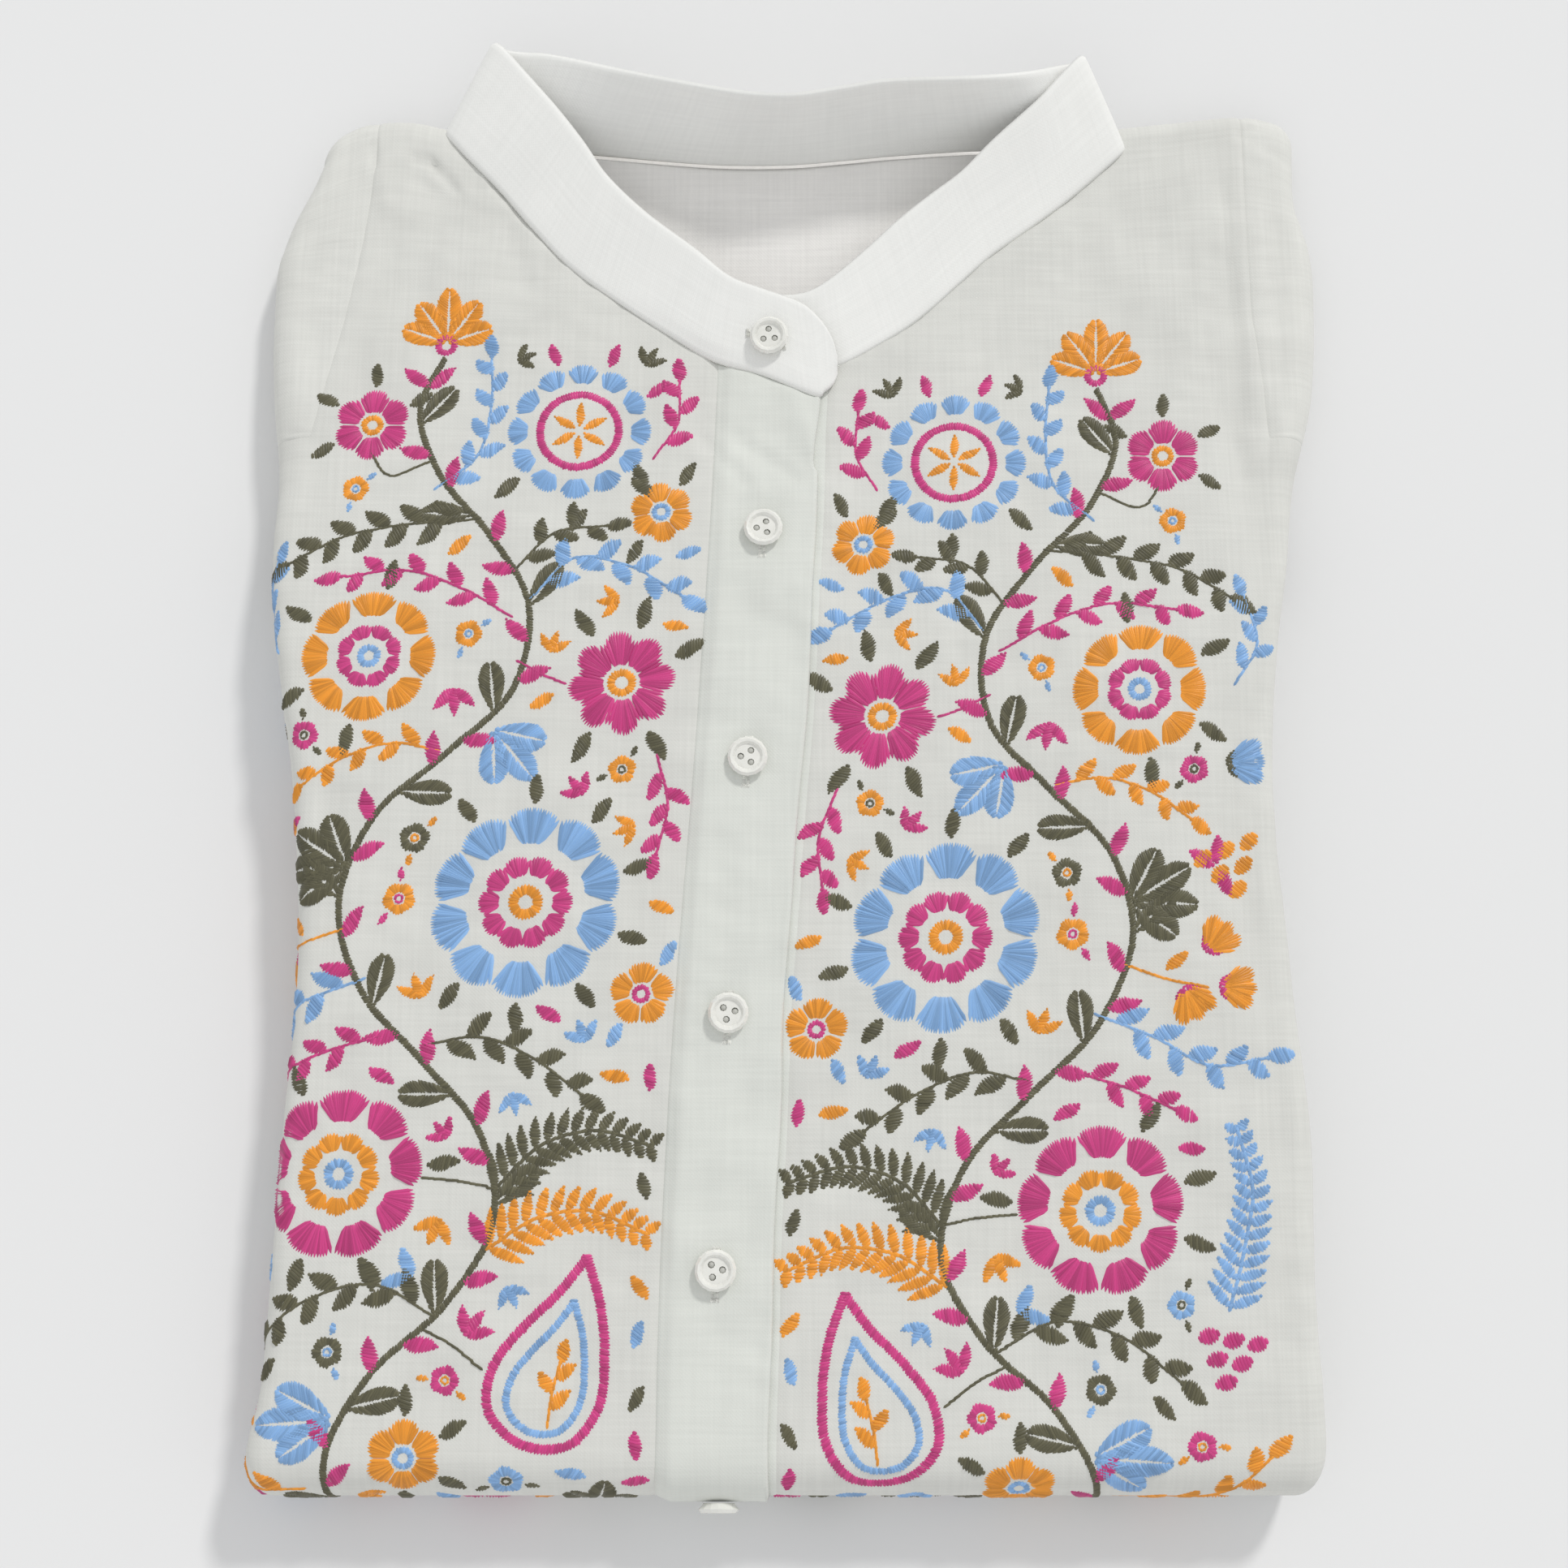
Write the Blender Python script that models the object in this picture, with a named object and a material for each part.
"""Linen blouse with a band collar, buttoned, folded and lying face up.

Blender 4.5, metres, +Z up. The collar points to +Y and the wearer's right side is at -X.
The sides and sleeves are folded behind, and then the lower half is folded up behind, round
a soft fold at -Y. Every sheet of cloth is read from one surface, which runs along the
garment: over the shoulder edge, down the front, round the bottom fold and back along the
underside to the hem. A piece is a wall at its own height over or under that surface.
"""
import math
from collections import namedtuple

import bmesh
import bpy
import numpy as np
from mathutils import Matrix, Vector

MM = 0.001

# Sheets and seams
CLOTH = 1.2 * MM
SEAM_GAP = 0.3 * MM
COLLAR_WALL = 2.0 * MM

# Folded stack, seen from the side
STACK_HEIGHT = 26.0 * MM
HALF_STACK = 12.7 * MM
FOLD_RADIUS = STACK_HEIGHT / 2
FOLD_Y = -179.5 * MM
EDGE_RADIUS = 7.0 * MM
EDGE_Y = 210.0 * MM
HEM_Y = 66.0 * MM
DROP_FROM_Y = 68.0 * MM
DROP_TO_Y = 108.0 * MM
UNDERARM_Y = 112.0 * MM
UNDER_INSET = 2.5 * MM
SIDE_TUCK = 12.0 * MM
SLEEVE_END_X = 25.0 * MM

# Middle of the finished part, in the measures of the tables below
MIDDLE_X = 2.43 * MM
MIDDLE_Y = 20.97 * MM

# Placket
PLACKET_WIDTH = 31.8 * MM
PLACKET_RAISE = 1.6 * MM
PLACKET_WALL = 1.3 * MM
PLACKET_RAMP = 5.0 * MM
PLACKET_FALL = (PLACKET_WIDTH + 1.0 * MM, PLACKET_WIDTH + 11.0 * MM)
PLACKET_START_Y = 129.0 * MM
PLACKET_START_FADE = 40.0 * MM
PLACKET_COLUMNS = (2.5 * MM, 5.0 * MM, 8.9 * MM, 15.9 * MM, 22.9 * MM, PLACKET_WIDTH)
UNDER_PLACKET_START = 6.0 * MM
UNDER_PLACKET_SHOWS = 2.3 * MM
NECK_TOP_Y = 130.0 * MM
NECK_CORNER_Y = {-1: 202.0 * MM, 1: 196.0 * MM}
NECK_START = 4.0 * MM
NECK_LOW_FROM_Y = 198.0 * MM
NECK_LOW_Y = 202.0 * MM

# Buttons, 18 ligne with three holes
BUTTON_DIAMETER = 11.5 * MM
BUTTON_HEIGHT = 2.6 * MM
BUTTON_HOLES = 3
BUTTON_HOLE = 2.0 * MM
BUTTON_HOLE_OUT = 1.95 * MM
BUTTON_HOLE_SIDES = 8
BUTTON_SIDES = 16
BUTTON_SEAT_GAP = 0.1 * MM
COLLAR_BUTTON_UP = 0.44
COLLAR_BUTTON_SHIFT = Vector((2.0, -0.4, 0.0)) * MM
COLLAR_BUTTON_TURN = 0.3
BUTTON_TURNS = (0.1, 0.0, 0.25)
DENT_DEPTH = BUTTON_HEIGHT + SEAM_GAP
DENT_FLAT = 10.0 * MM
DENT_REACH = 15.0 * MM
DENT_STEPS = (-14.0 * MM, -7.0 * MM, 7.0 * MM, 14.0 * MM)

# Lengths along the surface, from the tip of the shoulder edge to the hem
S_TOP = EDGE_RADIUS * math.pi / 2
S_FOLD = S_TOP + EDGE_Y - FOLD_Y
S_UNDER = S_FOLD + FOLD_RADIUS * math.pi
S_HEM = S_UNDER + HEM_Y - FOLD_Y

# The tables are in millimetres. A row is one section across the folded blouse.
Outline = namedtuple("Outline", "y right left top")
OUTLINE = [
    Outline(217, 141, 158.5, 14.0),
    Outline(204, 147, 157.5, 14.4),
    Outline(190, 153, 157.5, 15.2),
    Outline(176, 156, 161.0, 16.1),
    Outline(150, 157, 161.5, 17.8),
    Outline(123, 155.5, 159.0, 19.9),
    Outline(97, 152.5, 152.0, 22.2),
    Outline(72, 152, 148.0, 24.4),
    Outline(47, 149.5, 144.0, 25.7),
    Outline(10, 143.8, 141.0, 26.0),
    Outline(-48, 139.5, 143.8, 26.0),
    Outline(-95, 142, 147.5, 26.0),
    Outline(-140, 144, 147.0, 26.0),
    Outline(-165, 145.5, 148.0, 26.0),
    Outline(-180, 148.5, 148.0, 26.0),
    Outline(-193, 148.5, 146.0, 26.0),
]

# How far the shoulder edge lies beyond its mean line
Shoulder = namedtuple("Shoulder", "x reach")
SHOULDER = [
    Shoulder(-160, -1.0), Shoulder(-134, 0.4), Shoulder(-120, 0.8), Shoulder(-107, -1.0),
    Shoulder(0, -1.0), Shoulder(107, -0.6), Shoulder(123, 1.0), Shoulder(140, 2.4), Shoulder(160, -1.0),
]
SHOULDER_FADE = 50.0 * MM

# Distance of each armhole seam from the middle
Armhole = namedtuple("Armhole", "y right left")
ARMHOLE = [
    Armhole(217, 127.5, 141.3), Armhole(205, 127.5, 141.3), Armhole(190, 128.5, 141.4),
    Armhole(170, 131.0, 141.4), Armhole(150, 134.5, 141.6), Armhole(130, 139.0, 143.5),
    Armhole(112, 143.0, 145.0),
]

# Middle line of the placket, along the garment
PlacketLine = namedtuple("PlacketLine", "s x")
PLACKET_LINE = [
    PlacketLine(71, -4.3), PlacketLine(138, -7.2), PlacketLine(208, -11.2), PlacketLine(281, -16.4),
    PlacketLine(352, -19.6), PlacketLine(420, -20.8), PlacketLine(560, -27.0), PlacketLine(700, -34.0),
]

# One row for each button: its distance along the garment, and from the placket's middle
ButtonRow = namedtuple("ButtonRow", "name s aside")
BUTTONS = [
    ButtonRow("button_2", 139.8, 0.4), ButtonRow("button_3", 208.4, 0.0),
    ButtonRow("button_4", 281.5, 0.0), ButtonRow("button_5", 352.0, 0.0),
    ButtonRow("button_6", 418.5, 2.0), ButtonRow("button_7", 490.0, 0.0),
    ButtonRow("button_8", 561.0, 0.0),
]

# Largest folds of the front: a soft ridge, or a trough where the height is below zero
Fold = namedtuple("Fold", "x0 y0 x1 y1 reach height")
FOLDS = [
    Fold(141, 204, 141, 128, 7, 1.3),
    Fold(134, 122, 139, 72, 9, -1.5),
    Fold(124, 198, 118, 120, 9, 0.9),
    Fold(-121, 204, -118, 186, 6, 1.1),
    Fold(-146, 178, -149, 110, 8, -0.8),
    Fold(-112, 196, -104, 190, 6, -1.0),
    Fold(-96, 178, -88, 150, 8, 0.8),
    Fold(-24, 118, -8, 100, 5, -0.8),
    Fold(-9, 114, 6, 103, 5, -0.8),
    Fold(96, 30, 120, -60, 12, 0.9),
    Fold(-112, 20, -122, -70, 12, 0.9),
    Fold(60, -95, 78, -170, 11, -0.7),
    Fold(-70, -100, -86, -168, 11, 0.7),
]

# The collar stand, from its round tab end round the neck to its end under the tab
Band = namedtuple("Band", "seam_x seam_y seam_z top_x top_y top_z")
COLLAR = [
    Band(15.3, 131.0, 22.0, 15.2, 136.0, 22.5),
    Band(13.9, 127.4, 22.0, 13.4, 142.0, 22.7),
    Band(11.4, 124.9, 22.0, 9.6, 148.0, 22.9),
    Band(8.2, 123.6, 21.9, 3.8, 153.0, 23.0),
    Band(-7.1, 130.2, 21.4, -7.2, 157.2, 23.0),
    Band(-21.8, 135.2, 20.2, -17.4, 161.5, 22.8),
    Band(-34.8, 143.4, 18.8, -27.3, 170.0, 22.6),
    Band(-50.4, 154.2, 17.7, -42.6, 182.0, 22.4),
    Band(-66.0, 166.2, 16.9, -54.5, 194.0, 22.3),
    Band(-78.0, 179.4, 16.1, -61.8, 205.0, 22.2),
    Band(-89.0, 192.8, 15.2, -70.0, 216.0, 22.2),
    Band(-98.6, 203.0, 14.7, -80.0, 228.0, 22.0),
    Band(-103.4, 208.4, 14.3, -87.4, 236.6, 21.8),
    Band(-105.6, 211.2, 12.3, -90.2, 239.2, 19.2),
    Band(-103.2, 210.8, 10.6, -88.0, 238.6, 16.8),
    Band(-96.5, 210.0, 10.5, -81.5, 237.2, 17.4),
    Band(-83.0, 208.4, 10.5, -72.0, 235.0, 20.0),
    Band(-59.6, 206.2, 10.5, -46.5, 223.5, 31.0),
    Band(-33.6, 203.8, 10.5, -23.0, 216.0, 36.3),
    Band(-16.7, 202.8, 10.5, -9.0, 212.8, 38.3),
    Band(1.7, 203.0, 10.5, 2.6, 212.0, 39.4),
    Band(17.9, 204.4, 10.5, 16.5, 214.3, 39.3),
    Band(34.0, 206.0, 10.5, 30.5, 216.8, 38.9),
    Band(59.8, 207.6, 10.5, 53.0, 218.4, 37.4),
    Band(83.0, 207.4, 10.5, 71.5, 223.0, 31.4),
    Band(95.0, 207.6, 10.5, 82.5, 228.5, 25.0),
    Band(101.4, 207.8, 10.7, 88.0, 232.0, 20.6),
    Band(104.6, 206.6, 12.4, 90.6, 233.0, 23.0),
    Band(102.6, 203.6, 14.4, 88.4, 230.6, 25.4),
    Band(93.8, 195.2, 15.1, 82.3, 223.6, 26.3),
    Band(84.4, 187.0, 15.6, 76.0, 216.4, 26.4),
    Band(72.6, 177.8, 16.2, 63.2, 204.8, 25.2),
    Band(62.3, 170.1, 16.7, 53.0, 194.6, 23.8),
    Band(52.0, 160.4, 17.3, 44.0, 188.0, 22.6),
    Band(43.2, 152.1, 17.9, 34.2, 180.4, 21.5),
    Band(33.0, 144.1, 18.4, 24.0, 171.0, 20.6),
    Band(15.6, 134.0, 18.6, 12.5, 161.2, 20.0),
    Band(3.8, 131.2, 18.3, 4.0, 157.0, 19.7),
    Band(-8.0, 131.8, 18.3, -6.5, 157.0, 19.7),
    Band(-14.0, 133.8, 18.3, -11.5, 158.5, 19.7),
]
RIGHT_NECK_ROW = 5
LEFT_NECK_ROW = 36
TAB_ROW = 4
RIGHT_SEAM_ROWS = slice(RIGHT_NECK_ROW, 14)
LEFT_SEAM_ROWS = slice(27, LEFT_NECK_ROW + 1)
BACK_SEAM_ROWS = slice(15, 27)
TAB_SEAM_ROWS = slice(3, 6)
COLLAR_STEPS = 2
SEAM_STEPS = 8
COLLAR_HEIGHTS = (0.0, 0.33, 0.67, 1.0)

# Inside of the back, seen in the neck
BACK_HEIGHT = 10.6 * MM
BACK_SAG = 1.0 * MM
BACK_COLUMNS = 15
BACK_ROWS = 6
BACK_SEAM_CLEAR = 1.7 * MM
BACK_TUCK = 16.0 * MM
BACK_HALF_SPAN = 78.0 * MM
NECK_HALF_WIDTH = 107.3 * MM

# Hidden layers: how far they lie under the outer surface, and how they fall away in the neck
CORE_LIFT = -(CLOTH + 2 * SEAM_GAP)
CORE_FLAT_LIFT = CORE_LIFT - 0.6 * MM
CORE_UNDER_PLACKET_LIFT = -6.2 * MM
CORE_EDGE_CLEAR = 1.5 * MM
CORE_TIP_CLEAR = 3.0 * MM
CORE_TUCK_CLEAR = 1.0 * MM
CORE_HEM_CLEAR = 2.0 * MM
CORE_NECK_COLUMNS = 6
CORE_HEIGHT_IN_NECK = 8.2 * MM
NECK_DROP = 8.0 * MM
STEEP_DROP = 1.5 * MM
UNDER_PLACKET_DROP = 3.0 * MM

# Grid of the sheets: where the columns stand across a front, round its side and underneath
FLATS = (0.0, 0.18, 0.36, 0.54, 0.70, 0.83, 0.93, 1.0)
LOBES = (1.2, 1.4, 1.6, 1.8, 2.0)
SLEEVE_FLATS = (0.0, 0.5, 1.0)
SLEEVE_UNDER = (2.12, 2.24, 2.45, 2.7, 3.0)
ROW_CLEAR = 1.0 * MM

# Grid of the sheets: where the rows stand along the garment
EDGE_ROWS = (1.5 * MM, 4.0 * MM, 7.5 * MM)
SHOULDER_ROWS = 10
UNDERARM_ROWS_Y = (121.0 * MM, 112.0 * MM, 102.0 * MM, 90.0 * MM, 78.0 * MM, 64.0 * MM)
FRONT_ROWS = 9
FRONT_ROWS_Y = (40.0 * MM, -165.0 * MM)
FOLD_ROWS = 7
UNDER_ROWS = 7
FOLDS_FADE = 20.0 * MM

# Surfaces
SHARP_ANGLE = math.radians(40)
CLOTH_ROUGHNESS = 0.9
BUTTON_ROUGHNESS = 0.3


def smoothstep(low, high, value):
    """0 below low, 1 above high, and a soft rise between them."""
    t = np.clip((value - low) / (high - low), 0.0, 1.0)
    return t * t * (3.0 - 2.0 * t)


def read(table, name, at):
    """Smooth value of a table's named column at places along its first column."""
    keys = np.array([row[0] for row in table]) * MM
    values = np.array([getattr(row, name) for row in table]) * MM
    if keys[0] > keys[-1]:
        keys, values = keys[::-1], values[::-1]
    slopes = np.gradient(values, keys)
    i = np.clip(np.searchsorted(keys, at) - 1, 0, len(keys) - 2)
    step = keys[i + 1] - keys[i]
    t = np.clip((at - keys[i]) / step, 0.0, 1.0)
    start = (2 * t**3 - 3 * t**2 + 1) * values[i] + (t**3 - 2 * t**2 + t) * step * slopes[i]
    end = (3 * t**2 - 2 * t**3) * values[i + 1] + (t**3 - t**2) * step * slopes[i + 1]
    return start + end


def level(s):
    """Y of the garment's own axis at a distance along it."""
    down = np.clip(s - S_TOP, 0.0, EDGE_Y - FOLD_Y)
    back = np.clip(s - S_UNDER, 0.0, HEM_Y - FOLD_Y)
    return EDGE_Y - down + back


def half_thickness(s):
    """Half the thickness of the folded layers at a distance along the garment."""
    y = level(s)
    rests_on_table = smoothstep(DROP_FROM_Y, DROP_TO_Y, y)
    bottom = (STACK_HEIGHT - HALF_STACK) * (1.0 - rests_on_table)
    upper = (read(OUTLINE, "top", y) - bottom) / 2
    return np.where(s < S_FOLD, upper, HALF_STACK / 2)


def side_edge(side, s):
    """Distance of the side's outermost line from the middle."""
    bend = np.clip((s - S_FOLD) / FOLD_RADIUS, 0.0, math.pi)
    y = level(s) - (FOLD_RADIUS - HALF_STACK / 2) * np.sin(bend)
    inset = UNDER_INSET * smoothstep(S_FOLD, S_UNDER, s)
    return read(OUTLINE, "right" if side < 0 else "left", y) - inset


def place(x, w, s):
    """Point at x across, w above the middle of the layers, and s along the garment."""
    half = half_thickness(s)
    y = level(s)
    roll = np.clip(s / EDGE_RADIUS, 0.0, math.pi / 2)
    bend = np.clip((s - S_FOLD) / FOLD_RADIUS, 0.0, math.pi)
    reach = FOLD_RADIUS - half + w
    flat_z = read(OUTLINE, "top", y) - half + w * np.sin(roll)
    z = np.where(s < S_FOLD, flat_z, FOLD_RADIUS + reach * np.cos(bend))
    shift = np.abs(w) * np.cos(roll) - np.where(s < S_FOLD, 0.0, reach * np.sin(bend))
    shoulder = read(SHOULDER, "reach", x) * smoothstep(EDGE_Y - SHOULDER_FADE, EDGE_Y, y)
    return Vector((float(x - MIDDLE_X), float(y + shift + shoulder - MIDDLE_Y), float(z)))


def placket_middle(s):
    """X of the placket's middle line."""
    return read(PLACKET_LINE, "x", s)


def placket_raise(x, s):
    """Height of the top placket over the fronts, flush at its own seam."""
    u = x - placket_middle(s) + PLACKET_WIDTH / 2
    rise = smoothstep(0.0, PLACKET_RAMP, u)
    fall = 1.0 - smoothstep(*PLACKET_FALL, u)
    return PLACKET_RAISE * rise * fall


def sink(x, s):
    """How far the cloth is pressed in where the placket and buttons lie on the table."""
    pressed = smoothstep(S_FOLD + 0.5 * (S_UNDER - S_FOLD), S_UNDER, s) * placket_raise(x, s)
    for row in BUTTONS:
        if row.s * MM > S_UNDER:
            far = np.hypot(x - placket_middle(row.s * MM), s - row.s * MM)
            pressed = pressed + DENT_DEPTH * (1.0 - smoothstep(DENT_FLAT, DENT_REACH, far))
    return pressed


def crease(x, s):
    """Height that the largest folds add to the front."""
    y = level(s)
    total = 0.0
    for fold in FOLDS:
        ax, ay, bx, by = fold.x0 * MM, fold.y0 * MM, fold.x1 * MM, fold.y1 * MM
        length = math.hypot(bx - ax, by - ay)
        along = ((x - ax) * (bx - ax) + (y - ay) * (by - ay)) / length
        away = ((x - ax) * (by - ay) - (y - ay) * (bx - ax)) / length
        beyond = np.maximum(0.0, np.maximum(-along, along - length))
        total = total + fold.height * MM * np.exp(-(away**2 + beyond**2) / (fold.reach * MM) ** 2)
    return total * (1.0 - smoothstep(S_FOLD - FOLDS_FADE, S_FOLD, s)) * smoothstep(0.0, S_TOP, s)


def top_point(x, s, lift):
    """Point on or over the outer surface, at x across and s along the garment."""
    return place(x, half_thickness(s) + lift - sink(x, s) + crease(x, s), s)


def side_point(side, k, s, inner, tuck, lift):
    """Point of a section: k runs 0 to 1 across, to 2 round the side, to 3 underneath."""
    half = half_thickness(s)
    turn = np.clip(k - 1.0, 0.0, 1.0) * math.pi
    flat_end = side_edge(side, s) - half
    across = inner + (flat_end - inner) * np.clip(k, 0.0, 1.0)
    across = across + half * np.sin(turn) - tuck * np.clip(k - 2.0, 0.0, 1.0)
    above = np.clip(np.cos(turn), 0.0, 1.0)
    lift = lift + above * (crease(side * across, s) - sink(side * across, s))
    return place(side * (across + lift * np.sin(turn)), (half + lift) * np.cos(turn), s)


def collar_curve(name, rows=slice(None), steps=COLLAR_STEPS):
    """Evenly spread values of a column of the collar's table, smoothly between its rows."""
    values = np.array([getattr(row, name) for row in COLLAR]) * MM
    keys = np.arange(len(values))
    first, last, _ = rows.indices(len(values))
    at = np.linspace(first, last - 1, (last - 1 - first) * steps + 1)
    slopes = np.gradient(values)
    i = np.clip(np.searchsorted(keys, at) - 1, 0, len(keys) - 2)
    t = at - keys[i]
    start = (2 * t**3 - 3 * t**2 + 1) * values[i] + (t**3 - 2 * t**2 + t) * slopes[i]
    end = (3 * t**2 - 2 * t**3) * values[i + 1] + (t**3 - t**2) * slopes[i + 1]
    return start + end


def seam_across(rows, at):
    """Distance of a front's neck seam from the middle, at a given Y."""
    y = collar_curve("seam_y", rows, SEAM_STEPS)
    x = np.abs(collar_curve("seam_x", rows, SEAM_STEPS))
    order = np.argsort(y)
    return float(np.interp(at, y[order], x[order]))


def seam_height(rows, at):
    """Y of a stretch of the neck seam, at a given X."""
    x = collar_curve("seam_x", rows, SEAM_STEPS)
    y = collar_curve("seam_y", rows, SEAM_STEPS)
    order = np.argsort(x)
    return float(np.interp(at, x[order], y[order]))


def inner_edge(side, s):
    """Distance of a front's inner edge from the middle: the neck seam, then the placket."""
    y = level(s)
    if side < 0:
        low = -(placket_middle(s) - PLACKET_WIDTH / 2) + SEAM_GAP
        neck_from = COLLAR[RIGHT_NECK_ROW].seam_y * MM
        rows = RIGHT_SEAM_ROWS
    else:
        low = placket_middle(s) + PLACKET_WIDTH / 2 + UNDER_PLACKET_SHOWS + SEAM_GAP
        neck_from = COLLAR[LEFT_NECK_ROW].seam_y * MM
        rows = LEFT_SEAM_ROWS
    high = min(seam_across(rows, y) + 2 * SEAM_GAP, NECK_HALF_WIDTH)
    high = high + (NECK_HALF_WIDTH - high) * smoothstep(NECK_CORNER_Y[side], EDGE_Y, y)
    return float(low + (high - low) * smoothstep(neck_from - NECK_START, neck_from, y))


def neck_seam_y(x):
    """Y of the front part of the neck seam, at a given X."""
    if x < COLLAR[RIGHT_NECK_ROW].seam_x * MM:
        return seam_height(RIGHT_SEAM_ROWS, x)
    if x > COLLAR[LEFT_NECK_ROW].seam_x * MM:
        return seam_height(LEFT_SEAM_ROWS, x)
    return COLLAR[LEFT_NECK_ROW].seam_y * MM


def garment_rows(with_dents=False):
    """Distances along the garment of the sections that its sheets share."""
    start = S_TOP + EDGE_Y
    ys = [*np.linspace(EDGE_Y, NECK_TOP_Y, SHOULDER_ROWS), *UNDERARM_ROWS_Y]
    ys += list(np.linspace(*FRONT_ROWS_Y, FRONT_ROWS))
    rows = list(EDGE_ROWS) + [start - y for y in ys]
    rows += list(np.linspace(S_FOLD, S_UNDER, FOLD_ROWS))
    rows += list(np.linspace(S_UNDER, S_HEM, UNDER_ROWS + 1)[1:])
    if with_dents:
        under = [row.s * MM for row in BUTTONS if row.s * MM > S_UNDER]
        rows += [s + step for s in under for step in DENT_STEPS]
    return sorted(rows)


def material(name, colour, roughness=CLOTH_ROUGHNESS):
    """Plain coloured surface, without metal."""
    made = bpy.data.materials.new(name)
    made.use_nodes = True
    shader = made.node_tree.nodes["Principled BSDF"]
    shader.inputs["Base Color"].default_value = (*colour, 1.0)
    shader.inputs["Roughness"].default_value = roughness
    shader.inputs["Metallic"].default_value = 0.0
    made.diffuse_color = (*colour, 1.0)
    return made


def finish(bm, name, surface, collection):
    """Turn a bmesh into a named object with its own material."""
    bmesh.ops.recalc_face_normals(bm, faces=bm.faces)
    if bm.calc_volume(signed=True) < 0:
        bmesh.ops.reverse_faces(bm, faces=bm.faces)
    mesh = bpy.data.meshes.new(name)
    bm.to_mesh(mesh)
    bm.free()
    mesh.materials.append(surface)
    mesh.shade_smooth()
    mesh.set_sharp_from_angle(angle=SHARP_ANGLE)
    made = bpy.data.objects.new(name, mesh)
    collection.objects.link(made)
    return made


def cloth_wall(name, rows, columns, point, surface, collection, keep=None):
    """Sheet with a thickness: point(row, column, inner) places both of its skins."""
    bm = bmesh.new()
    bmesh.ops.create_grid(bm, x_segments=columns - 1, y_segments=rows - 1, size=1.0)

    def cell(co):
        return round((co.y + 1) / 2 * (rows - 1)), round((co.x + 1) / 2 * (columns - 1))

    if keep is not None:
        away = []
        for face in bm.faces:
            corners = [cell(v.co) for v in face.verts]
            if not keep(min(c[0] for c in corners), min(c[1] for c in corners)):
                away.append(face)
        bmesh.ops.delete(bm, geom=away, context="FACES")
    made = bmesh.ops.extrude_face_region(bm, geom=bm.faces[:])
    inner = {v for v in made["geom"] if isinstance(v, bmesh.types.BMVert)}
    for v in bm.verts:
        row, column = cell(v.co)
        v.co = point(row, column, v in inner)
    return finish(bm, name, surface, collection)


def front_panel(name, side, surface, collection):
    """One front: neck, armhole seam or side, bottom fold, underside and hem."""
    rows = garment_rows()
    ks = FLATS + LOBES + (3.0,)
    column_name = "right" if side < 0 else "left"

    def point(row, column, is_inner):
        s, k = rows[row], ks[column]
        inner = inner_edge(side, s)
        lift = -CLOTH if is_inner else 0.0
        if level(s) > UNDERARM_Y - ROW_CLEAR and k <= 1:
            seam = read(ARMHOLE, column_name, level(s)) - SEAM_GAP / 2
            return top_point(side * (inner + (seam - inner) * k), s, lift)
        return side_point(side, k, s, inner, SIDE_TUCK, lift)

    def keep(row, column):
        return ks[column] < 1 or level(rows[row]) < UNDERARM_Y + ROW_CLEAR

    return cloth_wall(name, len(rows), len(ks), point, surface, collection, keep)


def sleeve(name, side, surface, collection):
    """Sleeve from its armhole seam round the side, and folded behind."""
    rows = [s for s in garment_rows() if level(s) > UNDERARM_Y - ROW_CLEAR]
    ks = SLEEVE_FLATS + LOBES + SLEEVE_UNDER
    column_name = "right" if side < 0 else "left"

    def point(row, column, is_inner):
        s = rows[row]
        if row == len(rows) - 1:
            s = s - 2 * SEAM_GAP
        lift = -CLOTH if is_inner else 0.0
        seam = read(ARMHOLE, column_name, level(s)) + SEAM_GAP / 2
        tuck = side_edge(side, s) - half_thickness(s) - SLEEVE_END_X
        return side_point(side, ks[column], s, seam, tuck, lift)

    return cloth_wall(name, len(rows), len(ks), point, surface, collection)


def placket_start(x):
    """Distance along the garment where the placket meets the collar seam."""
    return S_TOP + EDGE_Y - seam_height(TAB_SEAM_ROWS, x) + 3 * SEAM_GAP


def strip(name, from_u, to_u, height, wall, surface, collection):
    """Strip along the middle of the fronts, u across it from the placket's seam."""
    start = S_TOP + EDGE_Y - PLACKET_START_Y
    rows = [start] + [s for s in garment_rows(True) if s > start + 2 * ROW_CLEAR]
    us = [from_u] + [u for u in PLACKET_COLUMNS if from_u < u < to_u] + [to_u]

    def point(row, column, is_inner):
        s = rows[row]
        x = placket_middle(s) - PLACKET_WIDTH / 2 + us[column]
        fade = 1.0 - smoothstep(start, start + PLACKET_START_FADE, s)
        s = s + (placket_start(x) - start) * fade
        return top_point(x, s, height(x, s) - (wall if is_inner else 0.0))

    return cloth_wall(name, len(rows), len(us), point, surface, collection)


def back_inside(name, surface, collection):
    """Inner face of the back, with its edges under the front parts of the collar."""
    xs = np.linspace(-BACK_HALF_SPAN, BACK_HALF_SPAN, BACK_COLUMNS)

    def point(row, column, is_inner):
        x = float(xs[column])
        top = seam_height(BACK_SEAM_ROWS, x) - BACK_SEAM_CLEAR
        low = neck_seam_y(x) + BACK_TUCK
        down = row / (BACK_ROWS - 1)
        y = top + (low - top) * down
        sag = BACK_SAG * math.sin(math.pi * down) * (1 - (x / BACK_HALF_SPAN) ** 2)
        z = BACK_HEIGHT - sag - (CLOTH if is_inner else 0.0)
        return Vector((x - MIDDLE_X, y - MIDDLE_Y, z))

    return cloth_wall(name, BACK_ROWS, BACK_COLUMNS, point, surface, collection)


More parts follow.
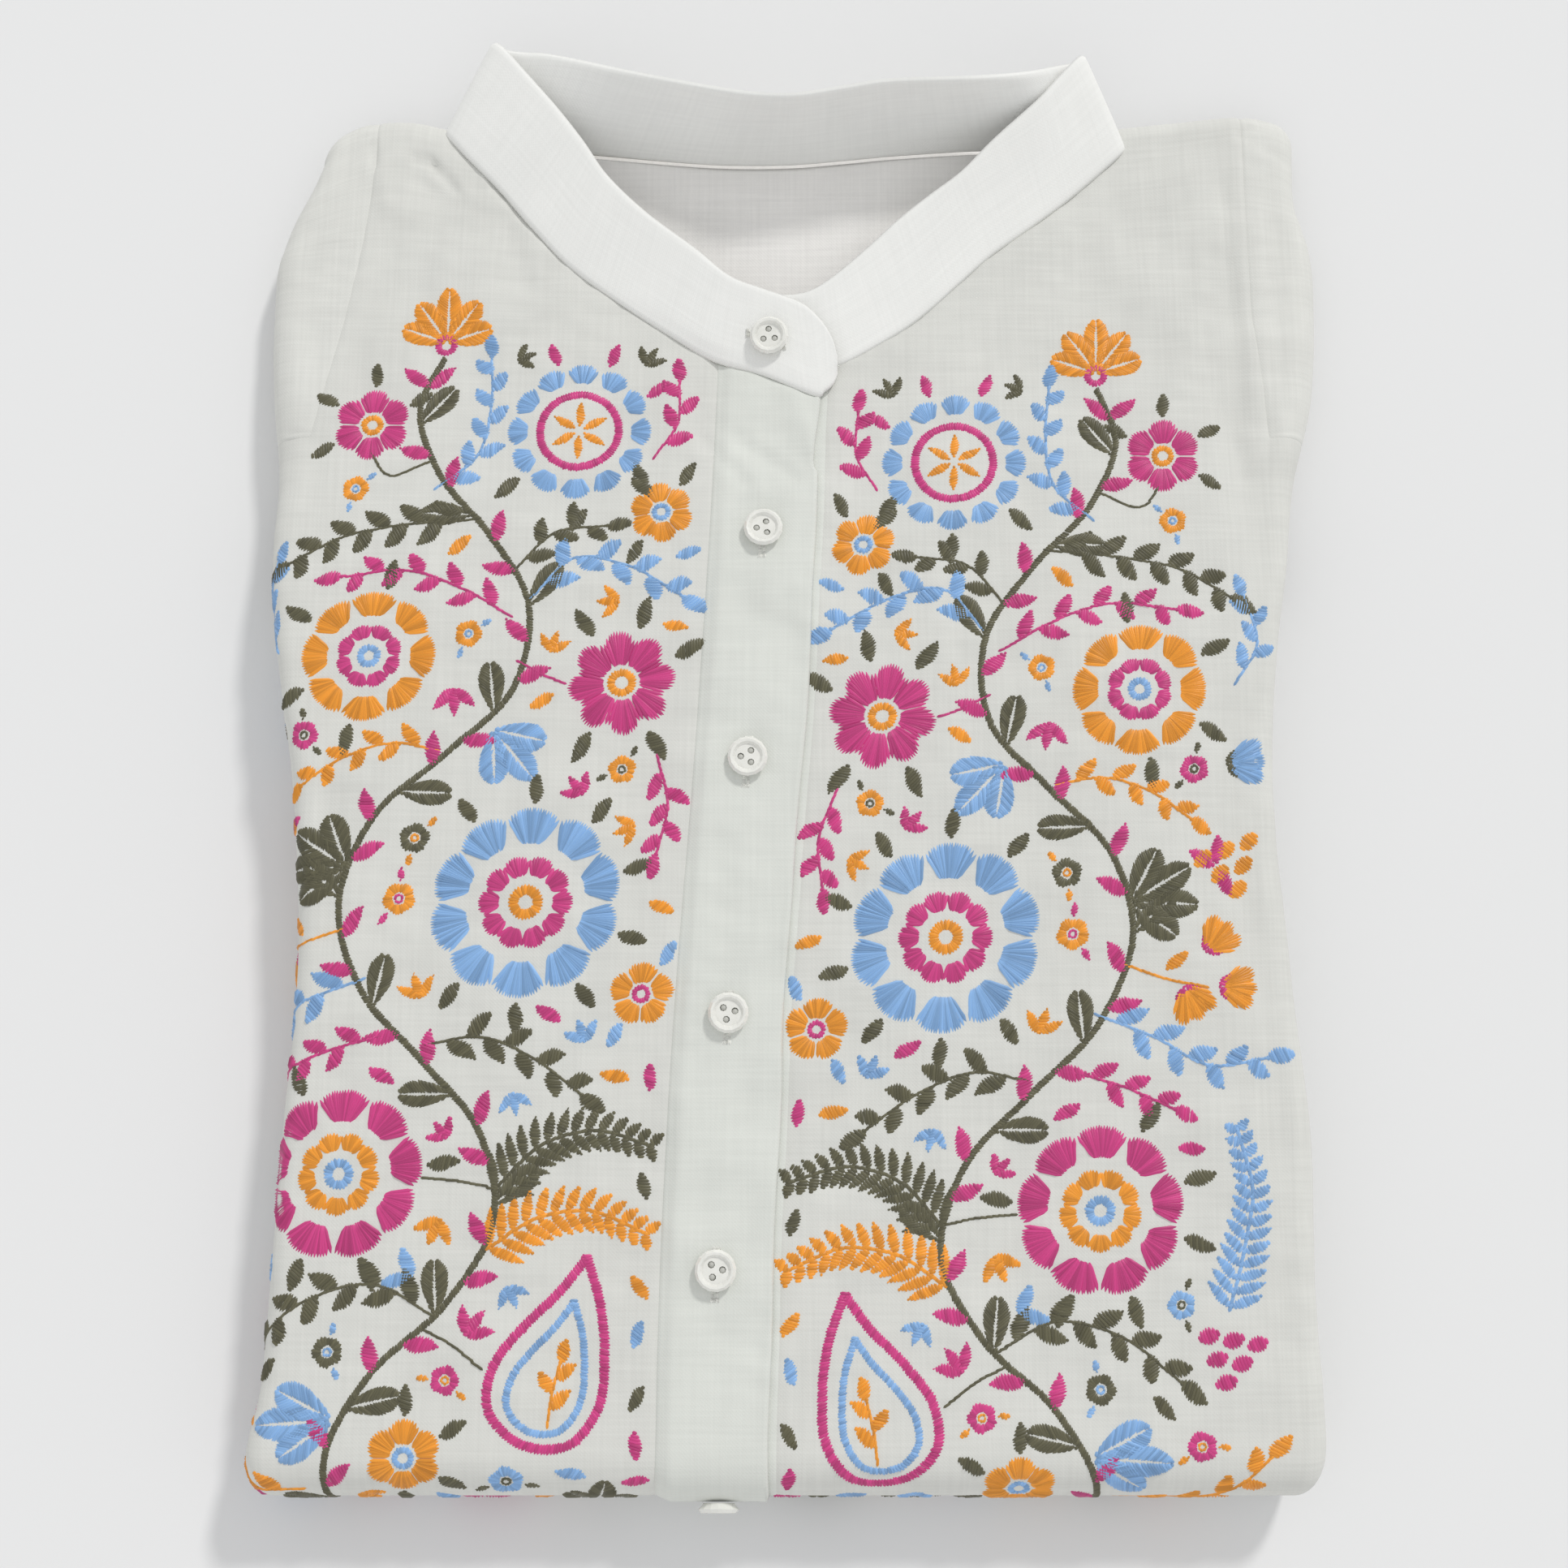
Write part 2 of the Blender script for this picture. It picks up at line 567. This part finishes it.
def collar_stand(name, surface, collection):
    """Band round the neck: front parts flat, back part standing, folded at both shoulders."""
    seam = np.stack([collar_curve(c) for c in ("seam_x", "seam_y", "seam_z")], axis=1)
    top = np.stack([collar_curve(c) for c in ("top_x", "top_y", "top_z")], axis=1)
    grid = np.array([[low + (high - low) * h for h in COLLAR_HEIGHTS] for low, high in zip(seam, top)])
    along = np.gradient(grid, axis=0)
    across = np.gradient(grid, axis=1)
    normal = np.cross(along, across)
    normal /= np.linalg.norm(normal, axis=2, keepdims=True)

    def point(row, column, is_inner):
        side = -0.5 if is_inner else 0.5
        co = grid[row, column] + normal[row, column] * COLLAR_WALL * side
        return Vector((co[0] - MIDDLE_X, co[1] - MIDDLE_Y, co[2]))

    return cloth_wall(name, len(seam), len(COLLAR_HEIGHTS), point, surface, collection)


def core_point(x, s):
    """Upper face of the hidden layers between the fronts' inner edges, low inside the neck."""
    y = level(s)
    under = smoothstep(S_FOLD, S_UNDER, s)
    lift = CORE_FLAT_LIFT + (CORE_UNDER_PLACKET_LIFT - CORE_FLAT_LIFT) * under
    high = place(x, half_thickness(s) + lift, s)
    if s > S_FOLD or y < NECK_TOP_Y - NECK_DROP:
        return high
    inside = max(smoothstep(0.0, NECK_DROP, y - neck_seam_y(x)), smoothstep(NECK_LOW_FROM_Y, NECK_LOW_Y, y))
    low = place(x, CORE_HEIGHT_IN_NECK - read(OUTLINE, "top", y) + half_thickness(s), s)
    return high.lerp(low, float(inside))


def core_section(s):
    """Closed ring round the hidden layers, from the left side over the top and back below."""
    half = float(half_thickness(s))
    y = level(s)
    drop = NECK_DROP + (STEEP_DROP - NECK_DROP) * smoothstep(NECK_LOW_FROM_Y - NECK_DROP, NECK_LOW_Y, y)
    drop = drop + (UNDER_PLACKET_DROP - drop) * smoothstep(S_FOLD, S_UNDER, s)
    if s < S_TOP:
        low_w = -(half - CORE_TIP_CLEAR)
    elif y > DROP_TO_Y - ROW_CLEAR or s > S_FOLD:
        low_w = -(half + CORE_LIFT)
    else:
        low_w = -(half - SEAM_GAP)
    inner, upper, lower = {}, {}, {}
    for side in (-1, 1):
        inner[side] = inner_edge(side, s) + CORE_EDGE_CLEAR
        flat_end = side_edge(side, s) - half
        across = [inner[side] + (flat_end - inner[side]) * k for k in FLATS]
        dips = [min(float(crease(side * x, s)), 0.0) - float(sink(side * x, s)) for x in across]
        upper[side] = [place(side * x, half + CORE_FLAT_LIFT + dip, s) for x, dip in zip(across[:-1], dips)]
        upper[side] += [side_point(side, k, s, inner[side], 0.0, CORE_LIFT) for k in (1.0,) + LOBES[:2]]
        lower[side] = [side_point(side, k, s, inner[side], SIDE_TUCK + CORE_TUCK_CLEAR, CORE_LIFT)
                       for k in LOBES[2:] + (3.0,)]
        end = flat_end - SIDE_TUCK - 3 * CORE_TUCK_CLEAR
        lower[side] += [place(side * min(x, end), low_w, s) for x in reversed(across[:-2])]
    xs = np.linspace(-inner[-1] + drop, inner[1] - drop, CORE_NECK_COLUMNS)
    above = [core_point(x, s) for x in xs]
    below = [place(x, low_w, s) for x in reversed(xs)]
    return upper[-1][::-1] + above + upper[1] + lower[1] + below + lower[-1][::-1]


def folded_layers(name, surface, collection):
    """Hidden layers as one rounded body, thinner in the neck, with a groove at its sides."""
    rows = garment_rows()
    rows[-1] = S_HEM - CORE_HEM_CLEAR
    bm = bmesh.new()
    rings = [[bm.verts.new(co) for co in core_section(s)] for s in rows]
    count = len(rings[0])
    for a, b in zip(rings, rings[1:]):
        for i in range(count):
            j = (i + 1) % count
            bm.faces.new((a[i], a[j], b[j], b[i]))
    for ring in (rings[0], rings[-1]):
        for i in range(count // 2 - 1):
            bm.faces.new((ring[i], ring[i + 1], ring[count - 2 - i], ring[count - 1 - i]))
    return finish(bm, name, surface, collection)


def button_mesh(name, surface):
    """Turned button with a raised rim and a dished face."""
    radius, height = BUTTON_DIAMETER / 2, BUTTON_HEIGHT
    profile = [
        (0.0, 0.62 * height), (0.64 * radius, 0.62 * height), (0.76 * radius, 0.95 * height),
        (0.87 * radius, height), (radius, 0.66 * height), (0.74 * radius, 0.0), (0.0, 0.0),
    ]
    bm = bmesh.new()
    chain = [bm.verts.new((x, 0.0, z)) for x, z in profile]
    for a, b in zip(chain, chain[1:]):
        bm.edges.new((a, b))
    bmesh.ops.spin(bm, geom=bm.verts[:] + bm.edges[:], axis=(0, 0, 1), cent=(0, 0, 0),
                   steps=BUTTON_SIDES, angle=2 * math.pi, use_merge=True)
    bmesh.ops.remove_doubles(bm, verts=bm.verts, dist=0.01 * MM)
    bmesh.ops.recalc_face_normals(bm, faces=bm.faces)
    mesh = bpy.data.meshes.new(name)
    bm.to_mesh(mesh)
    bm.free()
    mesh.materials.append(surface)
    mesh.shade_smooth()
    mesh.set_sharp_from_angle(angle=SHARP_ANGLE)
    return mesh


def hole_cutter(collection):
    """Thin pegs that cut the holes of a button."""
    bm = bmesh.new()
    for number in range(BUTTON_HOLES):
        turned = Matrix.Rotation(2 * math.pi * number / BUTTON_HOLES, 4, "Z")
        spot = turned @ Matrix.Translation((BUTTON_HOLE_OUT, 0.0, BUTTON_HEIGHT / 2))
        bmesh.ops.create_cone(bm, cap_ends=True, segments=BUTTON_HOLE_SIDES, radius1=BUTTON_HOLE / 2,
                              radius2=BUTTON_HOLE / 2, depth=2 * BUTTON_HEIGHT, matrix=spot)
    mesh = bpy.data.meshes.new("button_hole_cutter")
    bm.to_mesh(mesh)
    bm.free()
    cutter = bpy.data.objects.new("button_hole_cutter", mesh)
    cutter.hide_render = True
    cutter.display_type = "WIRE"
    collection.objects.link(cutter)
    return cutter


def drilled(mesh, cutter, collection):
    """The button's mesh with its holes cut by a Boolean."""
    blank = bpy.data.objects.new("button_blank", mesh)
    collection.objects.link(blank)
    cut = blank.modifiers.new("holes", "BOOLEAN")
    cut.operation = "DIFFERENCE"
    cut.object = cutter
    bpy.context.view_layer.update()
    graph = bpy.context.evaluated_depsgraph_get()
    result = bpy.data.meshes.new_from_object(blank.evaluated_get(graph))
    result.name = "button"
    bpy.data.objects.remove(blank)
    return result


def set_button(name, mesh, seat, out, turn, collection):
    """Put a button on its seat, facing out."""
    made = bpy.data.objects.new(name, mesh)
    made.rotation_mode = "QUATERNION"
    made.rotation_quaternion = out.to_track_quat("Z", "Y") @ Matrix.Rotation(turn, 3, "Z").to_quaternion()
    made.location = seat
    collection.objects.link(made)
    return made


def buttons(mesh, collection):
    """All buttons: one on the collar's tab and the others down the placket."""
    seam = Vector(COLLAR[TAB_ROW][:3]) * MM
    top = Vector(COLLAR[TAB_ROW][3:]) * MM
    along = Vector(COLLAR[TAB_ROW - 1][:3]) * MM - seam
    out = along.cross(top - seam).normalized()
    seat = seam.lerp(top, COLLAR_BUTTON_UP) + COLLAR_BUTTON_SHIFT - Vector((MIDDLE_X, MIDDLE_Y, 0))
    seat = seat + out * (COLLAR_WALL / 2 + SEAM_GAP + BUTTON_SEAT_GAP)
    set_button("button_1", mesh, seat, out, COLLAR_BUTTON_TURN, collection)
    for number, row in enumerate(BUTTONS):
        s = row.s * MM
        x = float(placket_middle(s)) + row.aside * MM
        if s > S_UNDER:
            seat = place(x, half_thickness(s) - BUTTON_HEIGHT, s)
            out = Vector((0, 0, -1))
        else:
            lift = PLACKET_RAISE + SEAM_GAP
            seat = top_point(x, s, lift)
            ahead = top_point(x, s + 2 * MM, lift) - top_point(x, s - 2 * MM, lift)
            beside = top_point(x + 2 * MM, s, lift) - top_point(x - 2 * MM, s, lift)
            out = ahead.cross(beside).normalized()
            seat = seat + out * BUTTON_SEAT_GAP
        set_button(row.name, mesh, seat, out, BUTTON_TURNS[number % len(BUTTON_TURNS)], collection)


def main():
    for old in list(bpy.data.objects):
        bpy.data.objects.remove(old)
    scene = bpy.context.scene
    blouse = bpy.data.collections.new("linen_blouse")
    cutters = bpy.data.collections.new("cutters")
    scene.collection.children.link(blouse)
    scene.collection.children.link(cutters)

    fronts = {side: material(f"linen_front_{name}", (0.65, 0.66, 0.63))
              for side, name in ((-1, "right"), (1, "left"))}
    front_panel("front_right", -1, fronts[-1], blouse)
    front_panel("front_left", 1, fronts[1], blouse)
    sleeve("sleeve_right", -1, material("linen_sleeve_right", (0.66, 0.66, 0.62)), blouse)
    sleeve("sleeve_left", 1, material("linen_sleeve_left", (0.72, 0.73, 0.69)), blouse)

    strip("placket_right", 0.0, PLACKET_WIDTH, placket_raise, PLACKET_WALL,
          material("linen_placket_right", (0.67, 0.69, 0.65)), blouse)
    strip("placket_left", UNDER_PLACKET_START, PLACKET_WIDTH + UNDER_PLACKET_SHOWS,
          lambda x, s: 0.0, CLOTH, material("linen_placket_left", (0.64, 0.65, 0.62)), blouse)
    back_inside("back", material("linen_back", (0.60, 0.60, 0.58)), blouse)
    collar_stand("collar_stand", material("linen_collar", (0.78, 0.78, 0.77)), blouse)
    folded_layers("folded_layers", material("linen_layers", (0.62, 0.63, 0.60)), blouse)

    pearl = material("pearly_plastic", (0.80, 0.80, 0.77), BUTTON_ROUGHNESS)
    button = drilled(button_mesh("button_blank", pearl), hole_cutter(cutters), cutters)
    buttons(button, blouse)


main()
